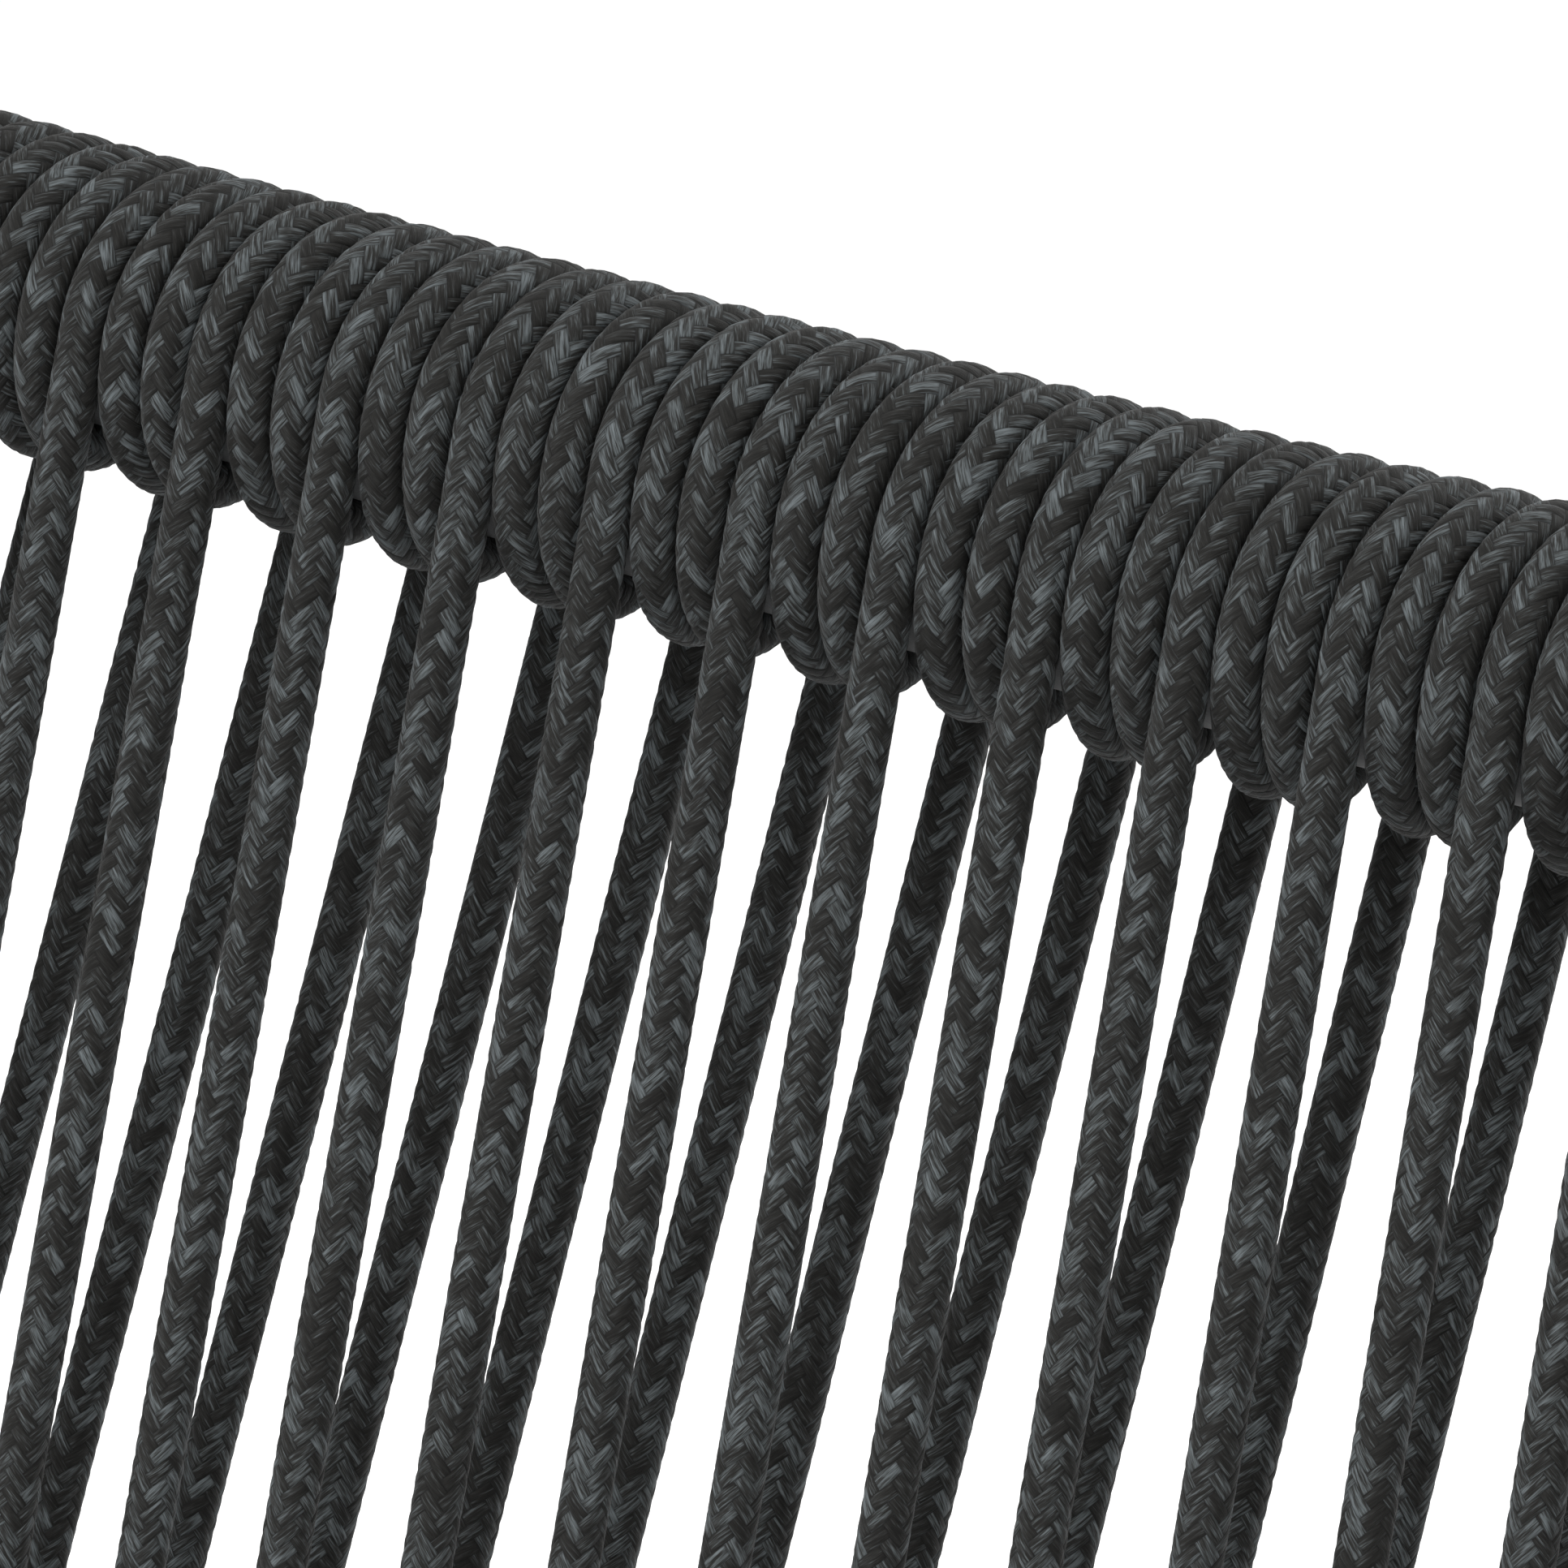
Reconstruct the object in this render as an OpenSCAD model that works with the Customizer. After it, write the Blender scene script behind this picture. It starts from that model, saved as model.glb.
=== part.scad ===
// Rope-strung panel: a bolted tube frame with one cord wound over two bowed rails.
// X runs along the rails, -Y is the front and Z is up. The origin is on the floor under the middle.
// The cord goes up the front, makes two spacing turns round the top rail and goes down the back.
// Round the bottom rail it makes two spacing turns again, and then it comes up as the next front run.

/* [Cord] */
// Diameter of the braided cord
cord_d = 7; // [5:0.5:9]
// Clear gap between neighbouring turns on the top rail
turn_gap = 0.3; // [0.2:0.1:1]
// Number of runs down the front
run_count = 23; // [5:2:31]
// Length of each straight cord tail under its clip
tail_length = 9; // [6:1:14]

/* [Rails] */
// Distance between the centre lines of the two rails
rail_spacing = 232; // [150:1:400]
// Outside diameter of the top rail, the elbows and the posts
top_rail_d = 32; // [25:1:40]
// Outside diameter of the bottom rail
bottom_rail_d = 25; // [16:1:32]
// Wall thickness of every tube
tube_wall = 2; // [1.5:0.1:2.5]
// Radius to which the top rail is bowed, so that its middle hangs lowest
bow_radius = 5400; // [3000:100:12000]
// Height of the bottom rail's centre line above the floor, at the middle
bottom_rail_height = 60; // [52:1:120]
// Clear gap between the end of the last clip and the plug inside the bottom rail
end_gap = 3; // [2:1:40]

/* [Corners] */
// Centre-line radius of the elbow's bend
elbow_radius = 36; // [30:1:50]
// Length of each elbow spigot inside its tube
spigot_length = 22; // [16:1:30]
// Length of the threaded plug in each end of the bottom rail
plug_length = 22; // [18:1:30]

/* [Bases] */
// Diameter of the round base plate
base_d = 70; // [66:1:100]
// Thickness of the base plate
plate_t = 5; // [4:0.5:8]
// Height of the collar above the base plate
collar_h = 22; // [16:1:26]
// Wall thickness of the collar
collar_wall = 4.5; // [3.5:0.5:5]
// Radius of the fillet between collar and plate
base_fillet = 2; // [1:0.5:2.5]
// Thickness of the rubber pad under the base plate
pad_t = 2; // [1:0.5:4]
// Diameter of each fixing hole
base_hole_d = 5.5; // [4.5:0.1:6.5]
// Distance between each fixing hole's edge and the edge of the plate
base_hole_margin = 3.5; // [3:0.5:5]
// Number of fixing holes in each base
base_hole_count = 4; // [3:1:6]

/* [Hardware] */
// Diameter of the bolt through each post into the bottom rail
bolt_d = 6; // [5:1:8]
// Diameter of the screws that lock the elbows
screw_d = 4; // [3:0.5:5]
// Diameter of the grub screw in each base
grub_d = 6; // [5:1:8]
// Diameter of the rivet that holds each cord clip
rivet_d = 3.2; // [2.4:0.1:4]
// Thickness of the clip's metal strip
clip_t = 0.8; // [0.6:0.1:1.2]
// Width of the clip's strip
clip_w = 7; // [5:0.5:9]

/* [Hidden] */
$fn = 96;

// Running clearances
fit_gap = 0.15;      // between a tube and what slides into it or over it
seat_gap = 0.05;     // between a rounded seat and the tube that it sits on
wrap_gap = 0.1;      // between the cord and the rail that it is wound on
thread_gap = 0.03;   // radial, between a screw and its threaded hole
run_end_gap = 0.15;  // where a straight run meets the end of a turn
half_turn_gap = 0.05;  // how far each half turn stands back from where it meets the next

// Places along the rails are counted in turns of cord from the middle
turn_pitch = cord_d + turn_gap;
turn_angle = turn_pitch / bow_radius * 180 / PI;
bottom_pitch = turn_pitch * (bow_radius + rail_spacing) / bow_radius;
bow_centre_z = bottom_rail_height + rail_spacing + bow_radius;
runs_apart = 3;      // turns from one front run to the next
group_halves = 5;    // half turns between a front run and its rear run
top_wrap_r = (top_rail_d + cord_d) / 2 + wrap_gap;
bottom_wrap_r = (bottom_rail_d + cord_d) / 2 + wrap_gap;

// The last clip, then the plug and the post set the width
rivet_head_r = rivet_d;
rivet_head_h = 0.4 * rivet_d;
clip_edge = 0.6;     // strip left on either side of the rivet's head
clip_root = 1;       // extra depth under the strip, cut away to seat it on the rail
hook_return = 25;    // angle by which the hook turns back past the tail's crest
rivet_reach = 2;     // how far each rivet reaches past the wall of the rail
rivet_x = cord_d / 2 + clip_t + rivet_head_r + clip_edge;
clip_reach = rivet_x + rivet_head_r + clip_edge;
end_clip_shift = (group_halves / 4 + 0.5) * bottom_pitch;
end_clip_x = rail_point(bottom_group(run_count - 1), rail_spacing, end_clip_shift, 0).x;
post_r = top_rail_d / 2;
post_x = end_clip_x + clip_reach + end_gap + plug_length + post_r;
post_foot_z = pad_t + plate_t;
bottom_end_angle = asin(post_x / (bow_radius + rail_spacing));

// The top rail ends where an elbow can turn down into the post
top_end_angle = asin((post_x - elbow_radius) / (bow_radius + elbow_radius));
elbow_x = post_x - elbow_radius;
elbow_z = bow_centre_z - (bow_radius + elbow_radius) * cos(top_end_angle);

spigot_r = top_rail_d / 2 - tube_wall - fit_gap;
spigot_root = 2;     // how far each spigot reaches into the bend
plug_r = bottom_rail_d / 2 - tube_wall - 2 * fit_gap;
collar_r = post_r + fit_gap + collar_wall;
grub_z = post_foot_z + collar_h / 2;
base_hole_circle = base_d - base_hole_d - 2 * base_hole_margin;
screw_head_r = 0.95 * screw_d;
screw_head_h = 0.55 * screw_d;
screw_stop = 2;      // how far each elbow screw ends short of the tube's axis
washer_r = 1.15 * bolt_d;
washer_t = 0.4 * bolt_d;
bolt_head_r = 0.9 * bolt_d;
bolt_head_h = 0.55 * bolt_d;
bolt_stop = 8;       // how far each rail bolt ends short of its plug's inner end
plug_end = 3;        // solid end of each plug, past its threaded hole
saddle_depth = 0.4 * post_r;  // depth from which the washer's saddle is cut
screw_socket_r = 0.3 * screw_d;
bolt_socket_r = 0.38 * bolt_d;
grub_socket_r = 0.28 * grub_d;
rivet_dimple_r = 0.15 * rivet_d;

// The turn where front run i reaches the top rail
function first_turn(i) = runs_apart * (i - (run_count - 1) / 2) - group_halves / 4;

// The middle of the bottom group that follows rear run i
function bottom_group(i) = first_turn(i) + group_halves / 4 + 1.5;

// A point x along and y behind the rail's centre line, drop below the top rail, seen from turn s
function rail_point(s, drop, x, y) =
    let (a = s * turn_angle, r = bow_radius + drop)
    [r * sin(a) + x * cos(a), y, bow_centre_z - r * cos(a) + x * sin(a)];

// Puts children on a rail's centre line at an angle round the bow, with X along the rail
module at_angle(angle, drop) {
    translate([0, 0, bow_centre_z])
        rotate([0, -angle, 0])
            translate([0, 0, -bow_radius - drop])
                children();
}

// Puts children on a rail's centre line at turn s
module at_turn(s, drop) {
    at_angle(s * turn_angle, drop) children();
}

// A cylinder from one point to another, short of both by gap
module rod(from, to, d, gap) {
    v = to - from;
    length = norm(v);
    translate(from)
        rotate([0, acos(v.z / length), atan2(v.y, v.x)])
            translate([0, 0, gap])
                cylinder(d = d, h = length - 2 * gap);
}

// A tube bent to an arc about the bow's centre, to the same angle either side of the middle
module bowed_tube(d, radius, end_angle) {
    translate([0, 0, bow_centre_z])
        rotate([90, 0, 0])
            rotate([0, 0, -90 - end_angle])
                difference() {
                    bowed_rod(d, radius, 2 * end_angle);
                    rotate([0, 0, -1])
                        bowed_rod(d - 2 * tube_wall, radius, 2 * end_angle + 2);
                }
}

module bowed_rod(d, radius, angle) {
    rotate_extrude(angle = angle, $fn = 720)
        translate([radius, 0])
            circle(d = d);
}

// Screw with a domed head, pointing down, with the underside of its head at the origin
module domed_screw(d, length, head_r, head_h, socket_r) {
    full_dome_r = (head_r * head_r + head_h * head_h) / (2 * head_h);
    dome_r = 1.25 * full_dome_r;  // flatter, so that the head keeps a short straight rim
    translate([0, 0, -length])
        cylinder(d = d, h = length);
    difference() {
        intersection() {
            cylinder(r = head_r, h = head_h);
            translate([0, 0, head_h - dome_r])
                sphere(r = dome_r);
        }
        translate([0, 0, head_h * 0.4])
            cylinder(r = socket_r, h = head_h, $fn = 6);
    }
}

// ---- Frame ----

// The axis of the screw that locks each elbow to the top rail
module at_rail_screw(side) {
    mirror([side < 0 ? 1 : 0, 0, 0])
        at_angle(top_end_angle, 0)
            translate([-spigot_length / 2, 0, 0])
                rotate([-90, 0, 0])
                    children();
}

// The axis of the screw that locks each elbow to its post
module at_post_screw(side) {
    translate([side * post_x, 0, elbow_z - spigot_length / 2])
        rotate([-90, 0, 0])
            children();
}

// The axis of the bolt that holds the bottom rail to each post, with Z pointing outward
module at_rail_bolt(side) {
    mirror([side < 0 ? 1 : 0, 0, 0])
        at_angle(bottom_end_angle, rail_spacing)
            rotate([0, 90, 0])
                children();
}

module screw_hole(d, depth) {
    cylinder(r = d / 2 + thread_gap, h = depth);
}

module top_rail() {
    color("#33363a")
    difference() {
        bowed_tube(top_rail_d, bow_radius, top_end_angle);
        for (side = [-1, 1])
            at_rail_screw(side)
                screw_hole(screw_d, top_rail_d);
    }
}

module bottom_rail() {
    color("#33363a")
    difference() {
        bowed_tube(bottom_rail_d, bow_radius + rail_spacing, bottom_end_angle);
        for (side = [-1, 1])
            translate([side * post_x, 0, 0])
                cylinder(r = post_r + fit_gap, h = bottom_rail_height * 2);
        at_start_clip()
            rivet_hole();
        at_end_clip()
            rivet_hole();
    }
}

module post(side) {
    color("#33363a")
    difference() {
        translate([side * post_x, 0, post_foot_z])
            difference() {
                cylinder(r = post_r, h = elbow_z - post_foot_z);
                translate([0, 0, -1])
                    cylinder(r = post_r - tube_wall, h = elbow_z - post_foot_z + 2);
            }
        at_post_screw(side)
            screw_hole(screw_d, top_rail_d);
        at_rail_bolt(side)
            translate([0, 0, -top_rail_d])
                cylinder(r = bolt_d / 2 + fit_gap, h = 2 * top_rail_d);
    }
}

module left_post() post(-1);
module right_post() post(1);

// The bend carries on the tube's outside, and a spigot at each end slides into the tube
module elbow(side) {
    color("#2e3134")
    difference() {
        mirror([side < 0 ? 1 : 0, 0, 0])
            union() {
                translate([elbow_x, 0, elbow_z])
                    rotate([90, 0, 0])
                        rotate_extrude(angle = 90 + top_end_angle)
                            translate([elbow_radius, 0])
                                circle(r = post_r);
                translate([post_x, 0, elbow_z - spigot_length])
                    cylinder(r = spigot_r, h = spigot_length + spigot_root);
                at_angle(top_end_angle, 0)
                    translate([spigot_root, 0, 0])
                        rotate([0, -90, 0])
                            cylinder(r = spigot_r, h = spigot_length + spigot_root);
            }
        at_post_screw(side)
            screw_hole(screw_d, top_rail_d);
        at_rail_screw(side)
            screw_hole(screw_d, top_rail_d);
    }
}

module left_elbow() elbow(-1);
module right_elbow() elbow(1);

module elbow_screws() {
    color("silver")
    for (side = [-1, 1]) {
        at_post_screw(side)
            elbow_screw();
        at_rail_screw(side)
            elbow_screw();
    }
}

module elbow_screw() {
    translate([0, 0, post_r])
        domed_screw(screw_d, post_r - screw_stop, screw_head_r, screw_head_h, screw_socket_r);
}

module rail_plug(side) {
    color("silver")
    difference() {
        at_rail_bolt(side)
            translate([0, 0, -post_r - plug_length])
                cylinder(r = plug_r, h = plug_length + post_r);
        translate([side * post_x, 0, 0])
            cylinder(r = post_r + fit_gap, h = bottom_rail_height * 2);
        at_rail_bolt(side)
            translate([0, 0, -post_r - plug_length + plug_end])
                screw_hole(bolt_d, plug_length + post_r);
    }
}

module left_rail_plug() rail_plug(-1);
module right_rail_plug() rail_plug(1);

module saddle_washers() {
    color("silver")
    for (side = [-1, 1])
        difference() {
            at_rail_bolt(side)
                translate([0, 0, post_r - saddle_depth])
                    cylinder(r = washer_r, h = saddle_depth + washer_t);
            translate([side * post_x, 0, 0])
                cylinder(r = post_r + seat_gap, h = bottom_rail_height * 2);
            at_rail_bolt(side)
                cylinder(r = bolt_d / 2 + fit_gap, h = 2 * top_rail_d);
        }
}

module rail_bolts() {
    color("silver")
    for (side = [-1, 1])
        at_rail_bolt(side)
            translate([0, 0, post_r + washer_t])
                domed_screw(
                    bolt_d, 2 * post_r + washer_t + plug_length - bolt_stop,
                    bolt_head_r, bolt_head_h, bolt_socket_r);
}

// ---- Bases ----

module fixing_holes(height) {
    for (i = [0 : base_hole_count - 1])
        rotate([0, 0, 360 / base_hole_count * (i + 0.5)])
            translate([base_hole_circle / 2, 0, -1])
                cylinder(d = base_hole_d, h = height + 2);
}

module base(side) {
    color("#2e3134")
    difference() {
        translate([side * post_x, 0, pad_t])
            difference() {
                rotate_extrude()
                    base_section();
                translate([0, 0, plate_t])
                    cylinder(r = post_r + fit_gap, h = collar_h + 1);
                fixing_holes(plate_t + base_fillet);
            }
        at_grub_screw(side)
            screw_hole(grub_d, collar_r * 2);
    }
}

// Half of the base's section, with a chamfer on each rim and a fillet in the corner
module base_section() {
    chamfer = 0.8;
    polygon([
        [0, 0], [base_d / 2, 0], [base_d / 2, plate_t - chamfer],
        [base_d / 2 - chamfer, plate_t], [collar_r, plate_t], [collar_r, plate_t + collar_h - chamfer],
        [collar_r - chamfer, plate_t + collar_h], [0, plate_t + collar_h]
    ]);
    translate([collar_r, plate_t])
        difference() {
            square(base_fillet);
            translate([base_fillet, base_fillet])
                circle(r = base_fillet);
        }
}

module left_base() base(-1);
module right_base() base(1);

module at_grub_screw(side) {
    translate([side * post_x, 0, grub_z])
        rotate([-90, 0, 0])
            children();
}

module base_grub_screws() {
    color("silver")
    for (side = [-1, 1])
        at_grub_screw(side)
            translate([0, 0, post_r])
                difference() {
                    cylinder(d = grub_d, h = collar_wall);
                    translate([0, 0, collar_wall / 2])
                        cylinder(r = grub_socket_r, h = collar_wall, $fn = 6);
                }
}

module base_pad(side) {
    color("#1c1c1c")
    translate([side * post_x, 0, 0])
        difference() {
            cylinder(d = base_d, h = pad_t);
            fixing_holes(pad_t);
        }
}

module left_base_pad() base_pad(-1);
module right_base_pad() base_pad(1);

// ---- Cord ----

// Half a turn over a rail, from the front of one place to the back of the next, or under it and back
module half_turn(wrap_r, pitch, over) {
    step = pitch / 4;
    slant = atan(step / wrap_r);
    translate([0, 0, over ? half_turn_gap : -half_turn_gap])
        rotate([0, 0, over ? -slant : slant])
            rotate([90, 0, -90])
                rotate([0, 0, over ? 0 : 180])
                    rotate_extrude(angle = 180)
                        translate([sqrt(wrap_r * wrap_r + step * step), 0])
                            circle(d = cord_d, $fn = 48);
}

// A string of half turns that goes over and under by turns, centred on the origin
module turn_group(wrap_r, pitch, halves, starts_over) {
    for (k = [0 : halves - 1])
        translate([(k - (group_halves - 1) / 2) * pitch / 2, 0, 0])
            half_turn(wrap_r, pitch, (k % 2 == 0) == starts_over);
}

module cord_top_turns() {
    color("#34363a")
    for (i = [0 : run_count - 1])
        at_turn(first_turn(i) + group_halves / 4, 0)
            turn_group(top_wrap_r, turn_pitch, group_halves, true);
}

// The first group starts the cord, and the last has one more half turn, so that both tails are at the back
module cord_bottom_turns() {
    color("#34363a")
    for (i = [-1 : run_count - 1])
        at_turn(bottom_group(i), rail_spacing)
            turn_group(
                bottom_wrap_r, bottom_pitch, i == run_count - 1 ? group_halves + 1 : group_halves,
                false);
}

// The first tail points up and the last points down
module cord_tails() {
    color("#34363a") {
        at_start_clip()
            translate([0, bottom_wrap_r, 0])
                cylinder(d = cord_d, h = tail_length);
        at_end_clip()
            translate([0, bottom_wrap_r, -tail_length])
                cylinder(d = cord_d, h = tail_length);
    }
}

module cord_front_runs() {
    half = group_halves / 4;
    color("#34363a")
    for (i = [0 : run_count - 1])
        rod(
            rail_point(first_turn(i) + half, 0, -half * turn_pitch, -top_wrap_r),
            rail_point(bottom_group(i - 1), rail_spacing, half * bottom_pitch, -bottom_wrap_r),
            cord_d, run_end_gap);
}

module cord_rear_runs() {
    half = group_halves / 4;
    color("#2b2d30")
    for (i = [0 : run_count - 1])
        rod(
            rail_point(first_turn(i) + half, 0, half * turn_pitch, top_wrap_r),
            rail_point(bottom_group(i), rail_spacing, -half * bottom_pitch, bottom_wrap_r),
            cord_d, run_end_gap);
}

// ---- Clips on the two ends of the cord ----

// The back of the bottom rail at the cord's first tail, with X pointing away from the winding
module at_start_clip() {
    at_turn(bottom_group(-1), rail_spacing)
        translate([-group_halves / 4 * bottom_pitch, 0, 0])
            mirror([1, 0, 0])
                children();
}

// The same at the cord's last tail
module at_end_clip() {
    at_turn(bottom_group(run_count - 1), rail_spacing)
        translate([end_clip_shift, 0, 0])
            children();
}

module rivet_hole() {
    translate([rivet_x, 0, 0])
        rotate([-90, 0, 0])
            screw_hole(rivet_d, bottom_rail_d);
}

// A strip that is seated on the rail, rises beside the tail and hooks over its crest
module clip() {
    inner_r = cord_d / 2 + seat_gap;
    difference() {
        translate([0, 0, -clip_w / 2])
            linear_extrude(clip_w) {
                translate([0, bottom_wrap_r])
                    intersection() {
                        difference() {
                            circle(r = inner_r + clip_t);
                            circle(r = inner_r);
                        }
                        union() {
                            square(cord_d);
                            rotate(hook_return)
                                square(cord_d);
                        }
                    }
                translate([inner_r, bottom_rail_d / 2 - clip_root])
                    square([clip_t, bottom_wrap_r - bottom_rail_d / 2 + clip_root]);
                translate([inner_r, bottom_rail_d / 2 - clip_root])
                    square([clip_reach - inner_r, clip_t + clip_root]);
            }
        rotate([0, 90, 0])
            cylinder(r = bottom_rail_d / 2 + seat_gap, h = clip_reach * 2);
        rivet_hole();
    }
}

module cord_start_clip() {
    color("silver")
    at_start_clip()
        clip();
}

module cord_end_clip() {
    color("silver")
    at_end_clip()
        clip();
}

module clip_rivets() {
    color("silver") {
        at_start_clip()
            rivet();
        at_end_clip()
            rivet();
    }
}

module rivet() {
    translate([rivet_x, bottom_rail_d / 2 + clip_t, 0])
        rotate([-90, 0, 0])
            domed_screw(
                rivet_d, clip_t + tube_wall + rivet_reach, rivet_head_r, rivet_head_h, rivet_dimple_r);
}

top_rail();
bottom_rail();
left_post();
right_post();
left_elbow();
right_elbow();
elbow_screws();
left_rail_plug();
right_rail_plug();
saddle_washers();
rail_bolts();
left_base();
right_base();
base_grub_screws();
left_base_pad();
right_base_pad();
cord_top_turns();
cord_bottom_turns();
cord_front_runs();
cord_rear_runs();
cord_tails();
cord_start_clip();
cord_end_clip();
clip_rivets();
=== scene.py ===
"""Looks for the rope-strung panel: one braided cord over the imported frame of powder-coated tube."""

import math
from collections import namedtuple

import bpy
import numpy as np
from mathutils import Matrix, Vector


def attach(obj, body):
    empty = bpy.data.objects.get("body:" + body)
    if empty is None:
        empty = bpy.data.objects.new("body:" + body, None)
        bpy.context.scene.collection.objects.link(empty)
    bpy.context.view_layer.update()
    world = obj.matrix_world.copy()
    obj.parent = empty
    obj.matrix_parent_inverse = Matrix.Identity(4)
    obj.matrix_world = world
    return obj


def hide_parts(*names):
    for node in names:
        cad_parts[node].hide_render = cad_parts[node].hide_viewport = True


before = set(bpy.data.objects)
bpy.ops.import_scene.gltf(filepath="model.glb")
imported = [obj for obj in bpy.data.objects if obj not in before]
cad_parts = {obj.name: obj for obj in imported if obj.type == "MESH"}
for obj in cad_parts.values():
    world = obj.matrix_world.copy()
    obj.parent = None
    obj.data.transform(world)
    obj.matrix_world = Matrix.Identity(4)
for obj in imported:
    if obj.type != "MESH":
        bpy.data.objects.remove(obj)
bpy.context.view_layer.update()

# ---- Sizes, in metres, as the CAD source has them ----

CORD_D = 0.007
TURN_GAP = 0.0003
RUN_COUNT = 23
RAIL_SPACING = 0.232
TOP_RAIL_D = 0.032
BOTTOM_RAIL_D = 0.025
BOW_RADIUS = 5.4
BOTTOM_RAIL_HEIGHT = 0.060
TAIL_LENGTH = 0.009
WRAP_GAP = 0.0001
RUNS_APART = 3             # turns on the top rail, from one front run to the next
GROUP_HALVES = 5           # half turns round a rail between two runs

HALF_GROUP = GROUP_HALVES / 4   # half the length of such a group, in turns
TURN_PITCH = CORD_D + TURN_GAP
BOTTOM_PITCH = TURN_PITCH * (BOW_RADIUS + RAIL_SPACING) / BOW_RADIUS
BOW_CENTRE_Z = BOTTOM_RAIL_HEIGHT + RAIL_SPACING + BOW_RADIUS
TOP_WRAP_R = (TOP_RAIL_D + CORD_D) / 2 + WRAP_GAP
BOTTOM_WRAP_R = (BOTTOM_RAIL_D + CORD_D) / 2 + WRAP_GAP

# ---- The cord's mesh and braid: 16 yarns, each over two and under two ----

YARNS_EACH_WAY = 8
BRAID_PITCH = 0.00285      # along the cord, from one float to the next in its column
RELIEF = 0.00016           # height of a float's middle over the creases round it
FLUSH_HEIGHT = 0.85        # share of the relief that lies at the cord's own diameter
EDGE_POWER = 3             # how flat a float is across, before its round edges
SEGMENTS = 24              # points in a ring round the cord
RING_STEP = 0.0008         # from one ring to the next
TWIST_WAVES = ((0.61, 0.55), (0.233, 0.3), (0.097, 0.12))  # wavelength, and swing in radians
SEED = 11
TIP_LENGTH = 0.0014        # rounded, heat-sealed end of a tail
TIP_NARROWING = 0.75       # share of the squared radius that is gone at the tip's last ring
TIP_DOME = 0.2             # how far a tip's middle stands out from its last ring, in tip lengths

# ---- The map for baking: a pass lies in strips, one above another ----

STRIPS = 7
STRIP_MARGIN = 0.004       # clear share of the map at each side of a strip
TIP_MAP_STEP = 0.0001      # between a tip triangle's corners on the map

# ---- Studio ----

CAMERA_PLACE = (0.43805, -0.86035, 0.37382)
CAMERA_LOOK = (-0.47369, 0.87233, -0.12112)
CAMERA_UP = (-0.23282, 0.0086, 0.97249)
CAMERA_LENS = 169.1        # millimetres, on the sensor's 36
SENSOR_WIDTH = 36.0
WORLD_STRENGTH = 1.05
LIGHT_SIZE = 1.4
LIGHT_TARGET = (0.0, 0.0, 0.15)
LIGHTS = (("key", (-0.9, -1.7, 1.9), 34), ("back", (0.9, 1.7, 1.5), 22))  # name, place and watts
FLOOR_HALF = 12.0


# ---- Camera, light and floor ----

def make_camera():
    data = bpy.data.cameras.new("camera")
    data.lens = CAMERA_LENS
    data.sensor_width = SENSOR_WIDTH
    data.clip_start, data.clip_end = 0.02, 60.0
    camera = bpy.data.objects.new("camera", data)
    bpy.context.scene.collection.objects.link(camera)
    back = -Vector(CAMERA_LOOK).normalized()
    right = Vector(CAMERA_UP).cross(back).normalized()
    up = back.cross(right)
    place = Matrix((right, up, back)).transposed().to_4x4()
    place.translation = CAMERA_PLACE
    camera.matrix_world = place
    bpy.context.scene.camera = camera


def area_light(name, place, power):
    data = bpy.data.lights.new(name, "AREA")
    data.shape = "DISK"
    data.size = LIGHT_SIZE
    data.energy = power
    light = bpy.data.objects.new(name, data)
    light.location = place
    light.rotation_mode = "QUATERNION"
    light.rotation_quaternion = (Vector(LIGHT_TARGET) - Vector(place)).to_track_quat("-Z", "Y")
    bpy.context.scene.collection.objects.link(light)


def make_floor():
    mesh = bpy.data.meshes.new("floor")
    far = FLOOR_HALF
    corners = [(-far, -far, 0), (far, -far, 0), (far, far, 0), (-far, far, 0)]
    mesh.from_pydata(corners, [], [(0, 1, 2, 3)])
    floor = bpy.data.objects.new("floor", mesh)
    bpy.context.scene.collection.objects.link(floor)
    paper = Nodes("floor_paper")
    mesh.materials.append(paper.finish(color=(0.98, 0.98, 0.98, 1.0), roughness=0.9))


def make_studio():
    scene = bpy.context.scene
    scene.view_settings.view_transform = "Standard"
    world = bpy.data.worlds.new("studio")
    world.use_nodes = True
    background = world.node_tree.nodes["Background"]
    background.inputs["Color"].default_value = (1.0, 1.0, 1.0, 1.0)
    background.inputs["Strength"].default_value = WORLD_STRENGTH
    scene.world = world
    for name, place, power in LIGHTS:
        area_light(name, place, power)
    make_floor()


# ---- Material nodes ----

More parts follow.
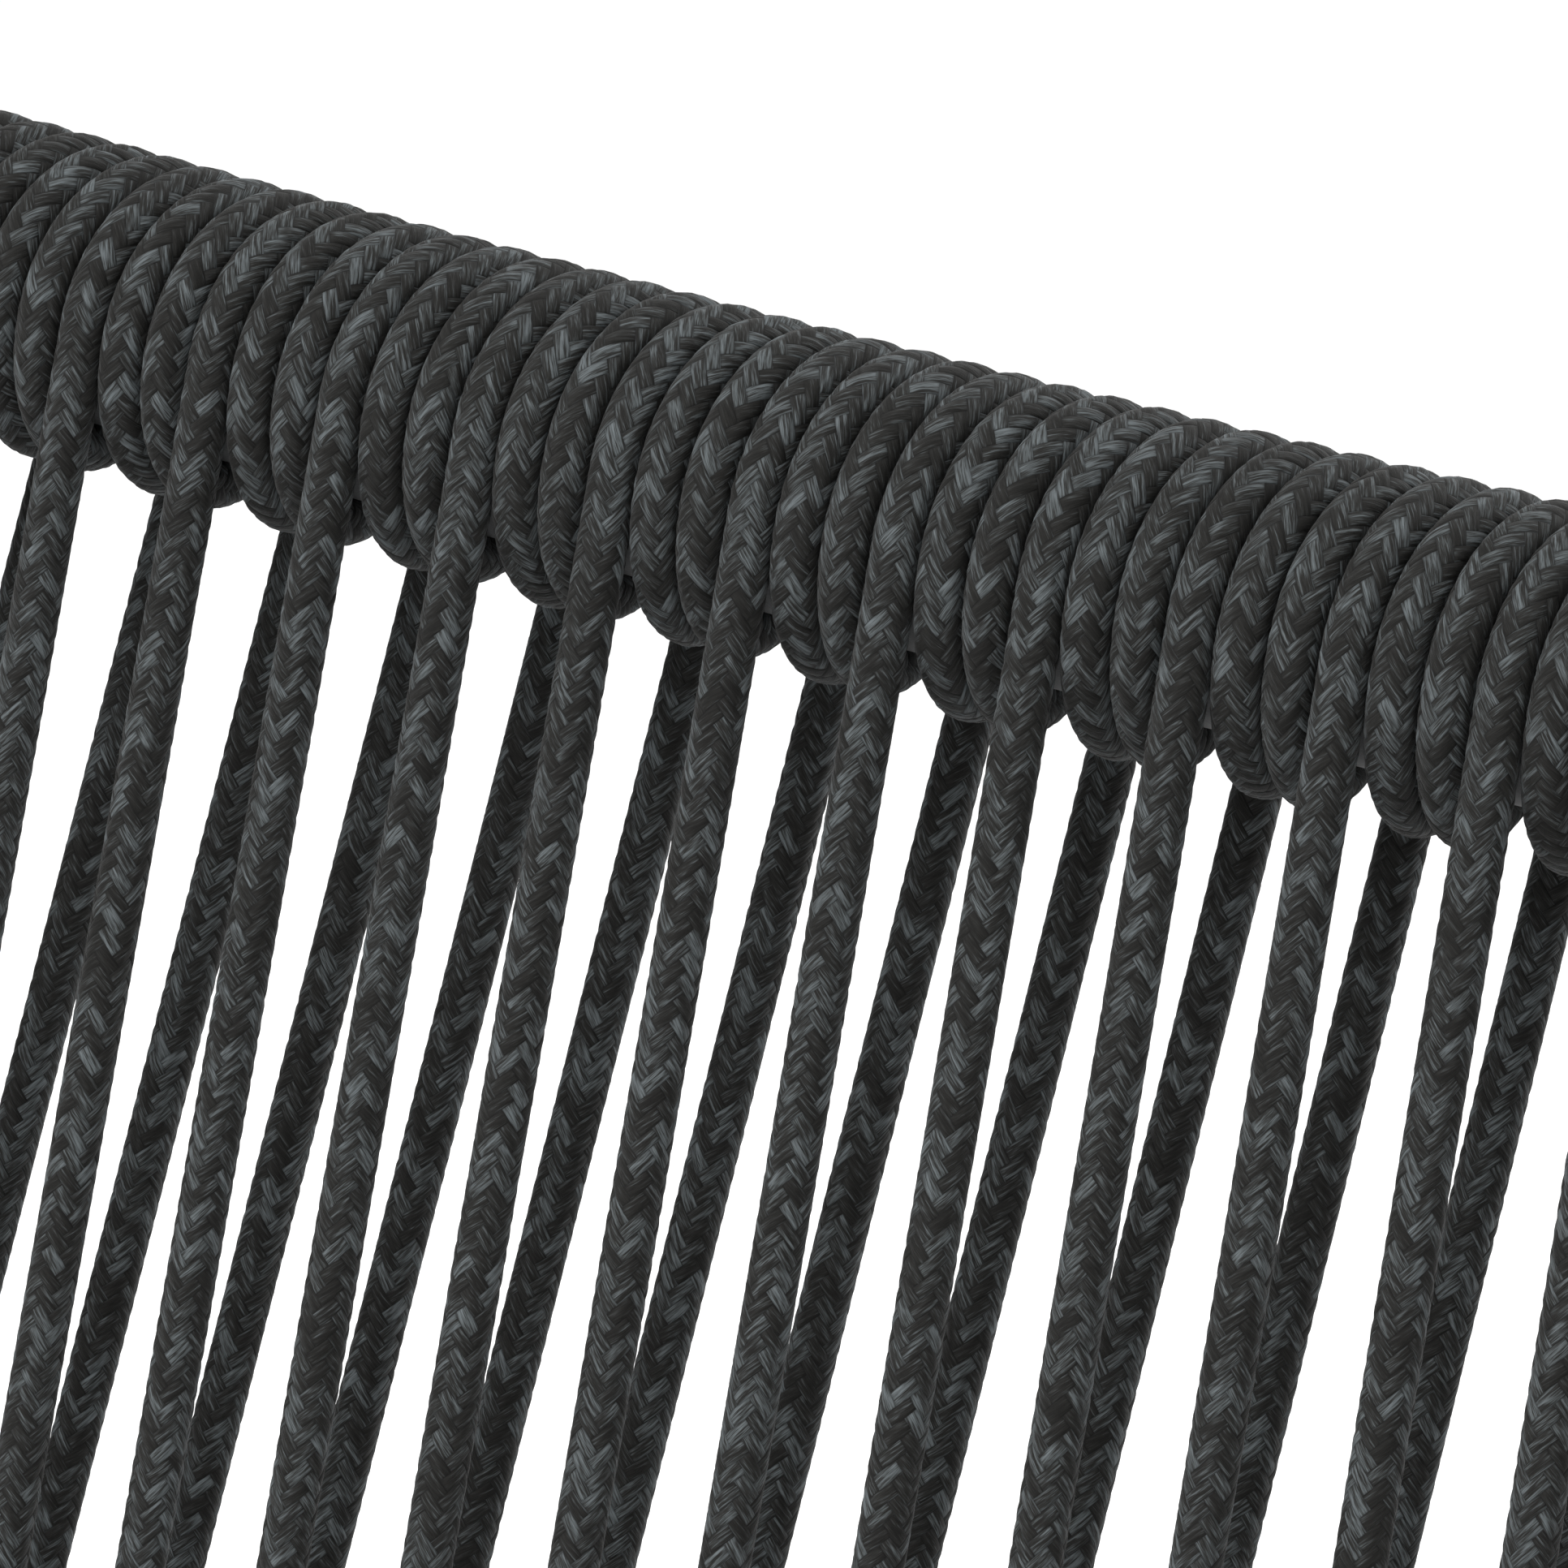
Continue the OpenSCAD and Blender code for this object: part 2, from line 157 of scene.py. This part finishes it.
class Nodes:
    """One material's node tree, built with short calls that return output sockets."""

    def __init__(self, name):
        self.material = bpy.data.materials.new(name)
        self.material.use_nodes = True
        self.tree = self.material.node_tree
        self.tree.nodes.clear()

    def add(self, kind, **settings):
        node = self.tree.nodes.new(kind)
        for key, value in settings.items():
            setattr(node, key, value)
        return node

    def feed(self, socket, value):
        if isinstance(value, bpy.types.NodeSocket):
            self.tree.links.new(value, socket)
        else:
            socket.default_value = value

    def math(self, operation, a, b=0.0, c=0.0):
        node = self.add("ShaderNodeMath", operation=operation)
        for socket, value in zip(node.inputs, (a, b, c)):
            self.feed(socket, value)
        return node.outputs[0]

    def pick(self, factor, low, high):
        """low where factor is 0, high where it is 1."""
        node = self.add("ShaderNodeMix", data_type="FLOAT")
        self.feed(node.inputs[0], factor)
        self.feed(node.inputs[2], low)
        self.feed(node.inputs[3], high)
        return node.outputs[0]

    def blend(self, factor, low, high, kind="MIX"):
        node = self.add("ShaderNodeMix", data_type="RGBA", blend_type=kind)
        self.feed(node.inputs[0], factor)
        self.feed(node.inputs[6], low)
        self.feed(node.inputs[7], high)
        return node.outputs[2]

    def vector(self, x, y, z=0.0):
        node = self.add("ShaderNodeCombineXYZ")
        for socket, value in zip(node.inputs, (x, y, z)):
            self.feed(socket, value)
        return node.outputs[0]

    def own_place(self, scale=(1.0, 1.0, 1.0)):
        """The piece's own coordinates, scaled along each axis."""
        coordinates = self.add("ShaderNodeTexCoord").outputs["Object"]
        node = self.add("ShaderNodeMapping", vector_type="POINT")
        node.inputs["Scale"].default_value = scale
        self.tree.links.new(coordinates, node.inputs["Vector"])
        return node.outputs[0]

    def noise(self, vector, scale, detail=2.0, roughness=0.5):
        node = self.add("ShaderNodeTexNoise")
        self.feed(node.inputs["Vector"], vector)
        node.inputs["Scale"].default_value = scale
        node.inputs["Detail"].default_value = detail
        node.inputs["Roughness"].default_value = roughness
        return node.outputs["Fac"]

    def ramp(self, factor, stops, interpolation="LINEAR"):
        node = self.add("ShaderNodeValToRGB")
        node.color_ramp.interpolation = interpolation
        while len(node.color_ramp.elements) < len(stops):
            node.color_ramp.elements.new(0.5)
        for element, (place, color) in zip(node.color_ramp.elements, stops):
            element.position = place
            element.color = (*color, 1.0)
        self.feed(node.inputs[0], factor)
        return node.outputs["Color"]

    def spread(self, value, low, high, to_low=0.0, to_high=1.0):
        """value eased from low..high to to_low..to_high."""
        node = self.add("ShaderNodeMapRange", interpolation_type="SMOOTHSTEP")
        for socket, number in zip(node.inputs, (value, low, high, to_low, to_high)):
            self.feed(socket, number)
        return node.outputs[0]

    def bump(self, height, distance, strength=1.0):
        node = self.add("ShaderNodeBump")
        node.inputs["Strength"].default_value = strength
        node.inputs["Distance"].default_value = distance
        self.tree.links.new(height, node.inputs["Height"])
        return node.outputs["Normal"]

    def finish(self, color, roughness, normal=None, **constants):
        """The Principled shader, and the material that it finishes.

        color and roughness may be sockets. Each constant is set on the shader's own socket.
        """
        shader = self.add("ShaderNodeBsdfPrincipled")
        self.feed(shader.inputs["Base Color"], color)
        self.feed(shader.inputs["Roughness"], roughness)
        if normal:
            self.tree.links.new(normal, shader.inputs["Normal"])
        for key, value in constants.items():
            shader.inputs[key.replace("_", " ").title().replace("Ior", "IOR")].default_value = value
        output = self.add("ShaderNodeOutputMaterial")
        self.tree.links.new(shader.outputs[0], output.inputs["Surface"])
        return self.material


# ---- Materials ----

LEAN = 0.5                 # spread of the filaments' leans over one float, in yarn widths
STREAK_RANGE = 60.0        # how far apart in the noise two floats' streaks may start
THREADS = (5.0, 1.0)       # scales of the broad streaks, across the yarn and along it
HAIRS = (22.0, 1.6)        # and of the fine ones
THREADS_SHARE = 0.56       # what the streaks, and each float's own lightness, add to the tone
HAIRS_SHARE = 0.44
FLOAT_SHARE = 0.15
CORD_TONES = (             # from the darkest filaments to the lightest, as linear colours
    (0.35, (0.0066, 0.0065, 0.0058)),
    (0.46, (0.0128, 0.0125, 0.0113)),
    (0.52, (0.0225, 0.0232, 0.0225)),
    (0.59, (0.064, 0.0722, 0.0745)),
    (0.70, (0.118, 0.134, 0.141)),
)

BraidCell = namedtuple("BraidCell", "a_on_top side way middle lane")


def braid_cell(n):
    """Where a point lies on its float, from the cord's own map: columns round it and pitches along it.

    Two families of yarns cross, a and b. side runs from -0.5 to 0.5 across the yarn on top, and way from
    0 to 1 along its float. middle and lane place the float's middle, along its yarn and across it.
    """
    braid_map = n.add("ShaderNodeSeparateXYZ")
    n.tree.links.new(n.add("ShaderNodeUVMap", uv_map="Braid").outputs[0], braid_map.inputs[0])
    around, along = braid_map.outputs[0], braid_map.outputs[1]
    a = n.math("SUBTRACT", around, along)
    b = n.math("ADD", around, along)
    i = n.math("FLOOR", a)
    j = n.math("FLOOR", b)
    in_a = n.math("SUBTRACT", a, i)
    in_b = n.math("SUBTRACT", b, j)

    # Which family is on top depends on the cell's column, and a float is two cells long
    column = n.math("FLOORED_MODULO", n.math("ADD", i, j), 4.0)
    a_on_top = n.math("LESS_THAN", column, 1.5)
    second_half = n.math("FLOORED_MODULO", column, 2.0)
    side = n.math("SUBTRACT", n.pick(a_on_top, in_b, in_a), 0.5)
    way = n.math("MULTIPLY", n.math("ADD", n.pick(a_on_top, in_a, in_b), second_half), 0.5)
    middle = n.math("ADD", n.math("SUBTRACT", n.pick(a_on_top, i, j), second_half), 1.0)
    lane = n.math("ADD", n.pick(a_on_top, j, i), 0.5)
    return BraidCell(a_on_top, side, way, middle, lane)


def float_chances(n, cell):
    """Random numbers that are the same all over a float: one, and three more."""
    around = n.math("FLOORED_MODULO", n.math("ADD", cell.middle, cell.lane), 2.0 * YARNS_EACH_WAY)
    along = n.math("SUBTRACT", cell.middle, cell.lane)
    chance = n.add("ShaderNodeTexWhiteNoise", noise_dimensions="3D")
    n.tree.links.new(n.vector(around, along, cell.a_on_top), chance.inputs["Vector"])
    split = n.add("ShaderNodeSeparateColor")
    n.tree.links.new(chance.outputs["Color"], split.inputs[0])
    return chance.outputs["Value"], split.outputs


def braided_cord():
    """Two-tone filament yarns: each float has its own streaks, its own lean and its own lightness. The
    creases between floats get painted shade.
    """
    n = Nodes("braided_cord")
    cell = braid_cell(n)
    luck, lucks = float_chances(n, cell)

    # Filaments run along the yarn and lean a little across it
    lean = n.math("MULTIPLY", n.math("SUBTRACT", lucks[0], 0.5), n.math("SUBTRACT", cell.way, 0.5))
    leant = n.math("ADD", cell.side, n.math("MULTIPLY", lean, LEAN))
    offset = n.math("MULTIPLY", lucks[1], STREAK_RANGE)

    def streaks(across, along):
        """Noise drawn out along the yarn, which starts elsewhere on each float."""
        x = n.math("ADD", n.math("MULTIPLY", leant, across), offset)
        y = n.math("MULTIPLY", cell.way, along)
        return n.noise(n.vector(x, y, offset), scale=1.0, detail=2.0, roughness=0.6)

    threads = streaks(*THREADS)
    hairs = streaks(*HAIRS)

    # A float is flat across with round edges, and rises from under its neighbours
    edge = n.math("POWER", n.math("ABSOLUTE", n.math("MULTIPLY", cell.side, 2.0)), EDGE_POWER)
    crown = n.math("SUBTRACT", 1.0, edge)
    arch = n.math("SQRT", n.math("MAXIMUM", n.math("SINE", n.math("MULTIPLY", cell.way, math.pi)), 0.0))
    profile = n.math("MULTIPLY", crown, arch)

    broad = n.math("MULTIPLY", threads, THREADS_SHARE)
    tone = n.math("ADD", broad, n.math("MULTIPLY", hairs, HAIRS_SHARE))
    own = n.math("MULTIPLY", n.math("SUBTRACT", luck, 0.5), FLOAT_SHARE)
    color = n.ramp(n.math("ADD", tone, own), CORD_TONES)
    # Painted shade: the colour is darkened down to 0.55 of itself in the creases between floats, where
    # shade falls
    painted_crease_shade = n.spread(profile, 0.0, 0.5, to_low=0.55, to_high=1.0)
    color = n.blend(1.0, color, n.vector(painted_crease_shade, painted_crease_shade, painted_crease_shade), "MULTIPLY")
    loose_hairs = n.math("MULTIPLY", n.math("MULTIPLY", hairs, profile), 0.5)
    height = n.math("ADD", n.math("MULTIPLY", profile, 0.7), loose_hairs)
    return n.finish(
        color, roughness=n.pick(hairs, 0.72, 0.9), normal=n.bump(height, distance=0.00026),
        specular_ior_level=0.2, sheen_weight=0.06, sheen_roughness=0.3)


def powder_coat(name, color, grain):
    """Fine-textured matt paint, slightly uneven, with the texture's grain about grain metres across."""
    n = Nodes(name)
    fine = n.noise(n.own_place(), scale=1.0 / grain, detail=3.0, roughness=0.6)
    broad = n.noise(n.own_place(), scale=18.0)
    darker, lighter = (tuple(share * c for c in color) for share in (0.9, 1.1))
    shade = n.ramp(broad, ((0.35, darker), (0.65, lighter)))
    speck = n.spread(fine, 0.35, 0.65, to_low=0.88, to_high=1.1)
    shade = n.blend(1.0, shade, n.vector(speck, speck, speck), "MULTIPLY")
    rough = n.spread(broad, 0.3, 0.7, to_low=0.5, to_high=0.62)
    return n.finish(shade, rough, n.bump(fine, distance=0.00006), specular_ior_level=0.45)


def stainless():
    """Satin steel, with a fine grain along X and a few soft smudges."""
    n = Nodes("stainless_satin")
    grain = n.noise(n.own_place((120.0, 4200.0, 4200.0)), scale=1.0, detail=3.0, roughness=0.6)
    smudge = n.noise(n.own_place(), scale=90.0)
    shade = n.ramp(grain, ((0.3, (0.42, 0.42, 0.41)), (0.7, (0.58, 0.58, 0.57))))
    brushed = n.spread(grain, 0.3, 0.7, to_low=0.24, to_high=0.36)
    rough = n.math("ADD", brushed, n.math("MULTIPLY", smudge, 0.12))
    return n.finish(shade, rough, n.bump(grain, distance=0.000012), metallic=1.0)


def turned_aluminium():
    """Machined bar, with fine turning marks about X."""
    n = Nodes("turned_aluminium")
    rings = n.noise(n.own_place((5200.0, 60.0, 60.0)), scale=1.0, detail=2.0, roughness=0.5)
    shade = n.ramp(rings, ((0.3, (0.6, 0.6, 0.61)), (0.7, (0.74, 0.74, 0.75))))
    rough = n.spread(rings, 0.3, 0.7, to_low=0.3, to_high=0.42)
    return n.finish(shade, rough, n.bump(rings, distance=0.00002), metallic=1.0)


def rubber():
    """Matt moulded rubber, with a fine grain and a faint bloom."""
    n = Nodes("moulded_rubber")
    grain = n.noise(n.own_place(), scale=2600.0, detail=2.0, roughness=0.6)
    bloom = n.noise(n.own_place(), scale=60.0)
    shade = n.ramp(bloom, ((0.35, (0.011, 0.011, 0.011)), (0.7, (0.02, 0.02, 0.0205))))
    rough = n.spread(grain, 0.3, 0.7, to_low=0.72, to_high=0.88)
    return n.finish(shade, rough, n.bump(grain, distance=0.00008), specular_ior_level=0.3)


# ---- The cord's route ----

def first_turn(i):
    """The turn where front run i reaches the top rail."""
    return RUNS_APART * (i - (RUN_COUNT - 1) / 2) - HALF_GROUP


def bottom_group(i):
    """The middle of the bottom group that follows rear run i."""
    return first_turn(i) + HALF_GROUP + RUNS_APART / 2


def rail_point(s, drop, x, y, z=0.0):
    """A point beside turn s of the rail that lies drop below the top one.

    It is x along, y behind and z above the rail's centre line.
    """
    a = s * TURN_PITCH / BOW_RADIUS
    r = BOW_RADIUS + drop
    return np.array((
        r * math.sin(a) + x * math.cos(a) - z * math.sin(a),
        y,
        BOW_CENTRE_Z - r * math.cos(a) + x * math.sin(a) + z * math.cos(a),
    ))


def joined(parts):
    """Points of several stretches in a row, each starting where the one before ends."""
    found = list(parts[0])
    for part in parts[1:]:
        found += part[1:]
    return found


def line(start, end):
    steps = max(2, round(float(np.linalg.norm(end - start)) / RING_STEP))
    return [start + (end - start) * k / steps for k in range(steps + 1)]


def half_turn(s, drop, wrap_r, pitch, k, over):
    """Half turn k of a group: over goes from the front to the back, under comes back to the front."""
    step = pitch / 4
    ring_r = math.hypot(wrap_r, step)
    middle = (k - (GROUP_HALVES - 1) / 2) * pitch / 2
    steps = round(math.pi * ring_r / RING_STEP)
    found = []
    for q in range(steps + 1):
        angle = math.pi * (q / steps + (0 if over else 1))
        x = middle + (-step if over else step) * math.cos(angle)
        found.append(rail_point(s, drop, x, -wrap_r * math.cos(angle), ring_r * math.sin(angle)))
    return found


def top_turns(i):
    """The group that follows front run i, so its first half turn goes over."""
    s = first_turn(i) + HALF_GROUP
    return joined([half_turn(s, 0.0, TOP_WRAP_R, TURN_PITCH, k, k % 2 == 0)
                   for k in range(GROUP_HALVES)])


def bottom_turns(i, halves=GROUP_HALVES):
    """The group that follows rear run i, so its first half turn goes under."""
    s = bottom_group(i)
    return joined([half_turn(s, RAIL_SPACING, BOTTOM_WRAP_R, BOTTOM_PITCH, k, k % 2 == 1)
                   for k in range(halves)])


def tail_tip(i, turns, z):
    """The end of a tail behind the bottom rail: turns along it from bottom group i's middle, z above it."""
    return rail_point(bottom_group(i), RAIL_SPACING, turns * BOTTOM_PITCH, BOTTOM_WRAP_R, z)


def cord_start():
    """The first tail, and the bottom group that leads to the first front run."""
    turns = bottom_turns(-1)
    return joined([line(tail_tip(-1, -HALF_GROUP, TAIL_LENGTH), turns[0]), turns])


def cord_passes():
    """One list of points for each pass: up the front, round the top, down the back and round the bottom.

    The first pass also has the cord's start. The last one has half a turn more and ends in a tail.
    """
    passes = []
    for i in range(RUN_COUNT):
        last = i == RUN_COUNT - 1
        before = cord_start() if i == 0 else [passes[-1][-1]]
        top = top_turns(i)
        bottom = bottom_turns(i, GROUP_HALVES + 1 if last else GROUP_HALVES)
        parts = [before, line(before[-1], top[0]), top, line(top[-1], bottom[0]), bottom]
        if last:
            parts.append(line(bottom[-1], tail_tip(i, HALF_GROUP + 0.5, -TAIL_LENGTH)))
        passes.append(joined(parts))
    return passes


def unit(v):
    return v / np.linalg.norm(v, axis=-1, keepdims=True)


def frames_along(points):
    """Tangents, and sideways directions that turn about the cord as little as they can."""
    no_turn = 1e-18
    tangents = unit(np.gradient(points, axis=0))
    sideways = np.empty_like(points)
    sideways[0] = unit(np.cross(tangents[0], (0.0, 1.0, 0.0)))
    for q in range(len(points) - 1):
        chord = points[q + 1] - points[q]
        c = chord @ chord
        r = sideways[q] - 2 / c * (chord @ sideways[q]) * chord
        t = tangents[q] - 2 / c * (chord @ tangents[q]) * chord
        turn = tangents[q + 1] - t
        c = turn @ turn
        sideways[q + 1] = r - 2 / c * (turn @ r) * turn if c > no_turn else r
    return tangents, unit(sideways)


def slow_twist(distance, rng):
    total = np.zeros_like(distance)
    for length, swing in TWIST_WAVES:
        total += swing * np.sin(2 * math.pi * (distance / length + rng.random()))
    return total


# ---- The cord's mesh ----

# Points along the cord, and at each of them two directions, the cord's length so far and its twist
Route = namedtuple("Route", "points tangents sideways distance twist")


def float_height(around, along):
    """Height of the braid, from 0 in the groove between floats to 1 on the middle of a float."""
    a, b = around - along, around + along
    i, j = np.floor(a), np.floor(b)
    column = np.mod(i + j, 4)
    a_on_top = column < 1.5
    side = np.where(a_on_top, a - i, b - j) - 0.5
    way = (np.where(a_on_top, b - j, a - i) + np.mod(column, 2)) / 2
    return (1 - np.abs(2 * side) ** EDGE_POWER) * np.sqrt(np.clip(np.sin(math.pi * way), 0, 1))


def ring_points(route, tips):
    """A ring of points round each point of the route, with the braid's relief, and narrower near a tip."""
    turn = np.arange(SEGMENTS)[None, :] / SEGMENTS
    height = float_height(turn * YARNS_EACH_WAY, (route.distance / BRAID_PITCH)[:, None])
    radius = CORD_D / 2 + RELIEF * (height - FLUSH_HEIGHT)
    for tip in tips:
        away = np.abs(route.distance - route.distance[tip])
        near = np.clip(1 - away / TIP_LENGTH, 0, 1)
        radius = radius * np.sqrt(1 - near ** 2 * TIP_NARROWING)[:, None]
    angle = (turn * 2 * math.pi + route.twist[:, None])[:, :, None]
    other = np.cross(route.tangents, route.sideways)
    out = np.cos(angle) * route.sideways[:, None, :] + np.sin(angle) * other[:, None, :]
    return (route.points[:, None, :] + radius[:, :, None] * out).reshape(-1, 3)


def tube_faces(route):
    """The quads between the rings, and each corner's place on the braid's map and on the map for baking."""
    rows = len(route.points) - 1
    ring = np.arange(rows)[:, None, None] + np.array((0, 0, 1, 1))
    step = np.arange(SEGMENTS)[None, :, None] + np.array((0, 1, 1, 0))
    ring, step = np.broadcast_arrays(ring, step)
    quads = (ring * SEGMENTS + step % SEGMENTS).reshape(-1, 4)
    turn = step / SEGMENTS
    braid = np.stack((turn * YARNS_EACH_WAY, route.distance[ring] / BRAID_PITCH), -1)

    per_strip = math.ceil(rows / STRIPS)
    strip = ring[:, :, :1] // per_strip
    wide, high = 1 - 2 * STRIP_MARGIN, 1 - 2 * STRIPS * STRIP_MARGIN
    bake = np.stack((
        STRIP_MARGIN + wide * (ring - strip * per_strip) / per_strip,
        (strip + STRIPS * STRIP_MARGIN + high * turn) / STRIPS), -1)
    return [tuple(map(int, quad)) for quad in quads], braid.reshape(-1, 2), bake.reshape(-1, 2)


def tip_faces(route, tip, centre):
    """The triangles from a tip's last ring to vertex centre, and their corners' places on both maps."""
    faces, braid, bake = [], [], []
    for m in range(SEGMENTS):
        pair = (tip * SEGMENTS + m, tip * SEGMENTS + (m + 1) % SEGMENTS)
        faces.append((*(pair[::-1] if tip == 0 else pair), centre))
        braid += [(m / SEGMENTS * YARNS_EACH_WAY, route.distance[tip] / BRAID_PITCH)] * 3
        bake += [(STRIP_MARGIN, STRIP_MARGIN + TIP_MAP_STEP * k) for k in range(3)]
    return faces, braid, bake


def cord_mesh(name, route, tips, material):
    """One pass as a tube in low relief. tips says at which of the route's points the cord ends."""
    verts = [tuple(p) for p in ring_points(route, tips)]
    faces, braid, bake = tube_faces(route)
    for tip in tips:
        outward = -1 if tip == 0 else 1
        fan, fan_braid, fan_bake = tip_faces(route, tip, len(verts))
        verts.append(tuple(route.points[tip] + route.tangents[tip] * outward * TIP_LENGTH * TIP_DOME))
        faces += fan
        braid = np.concatenate((braid, fan_braid))
        bake = np.concatenate((bake, fan_bake))

    mesh = bpy.data.meshes.new(name)
    mesh.from_pydata(verts, [], faces)
    for label, places in (("Braid", braid), ("OFBake", bake)):
        layer = mesh.uv_layers.new(name=label)
        layer.data.foreach_set("uv", places.astype(np.float32).ravel())
    mesh.polygons.foreach_set("use_smooth", np.ones(len(faces), bool))
    mesh.materials.append(material)
    piece = bpy.data.objects.new(name, mesh)
    bpy.context.scene.collection.objects.link(piece)
    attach(piece, "root")
    return piece


def make_cord(material):
    passes = cord_passes()
    points = np.array(joined(passes))
    steps = np.linalg.norm(np.diff(points, axis=0), axis=1)
    distance = np.concatenate(([0.0], np.cumsum(steps)))
    twist = slow_twist(distance, np.random.default_rng(SEED))
    whole = Route(points, *frames_along(points), distance, twist)
    start = 0
    for i, part in enumerate(passes):
        route = Route(*(values[start:start + len(part)] for values in whole))
        tips = []
        if i == 0:
            tips.append(0)
        if i == len(passes) - 1:
            tips.append(len(part) - 1)
        piece = cord_mesh(f"cord_pass_{i + 1:02d}", route, tips, material)
        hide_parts("cord_top_turns", "cord_bottom_turns", "cord_front_runs", "cord_rear_runs")
        if tips:
            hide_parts("cord_tails")
        start += len(part) - 1


# ---- The whole panel ----

def dress(material, *names):
    """Gives the CAD nodes a material, with their meshes left as they are."""
    for name in names:
        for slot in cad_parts[name].material_slots:
            slot.link = "OBJECT"
            slot.material = material


make_camera()
make_studio()
make_cord(braided_cord())
dress(powder_coat("powder_coat_tube", color=(0.0176, 0.0187, 0.0198), grain=0.0005),
      "top_rail", "bottom_rail", "left_post", "right_post")
dress(powder_coat("powder_coat_casting", color=(0.0134, 0.0144, 0.0153), grain=0.0008),
      "left_elbow", "right_elbow", "left_base", "right_base")
dress(stainless(), "elbow_screws", "saddle_washers", "rail_bolts", "base_grub_screws",
      "cord_start_clip", "cord_end_clip", "clip_rivets")
dress(turned_aluminium(), "left_rail_plug", "right_rail_plug")
dress(rubber(), "left_base_pad", "right_base_pad")
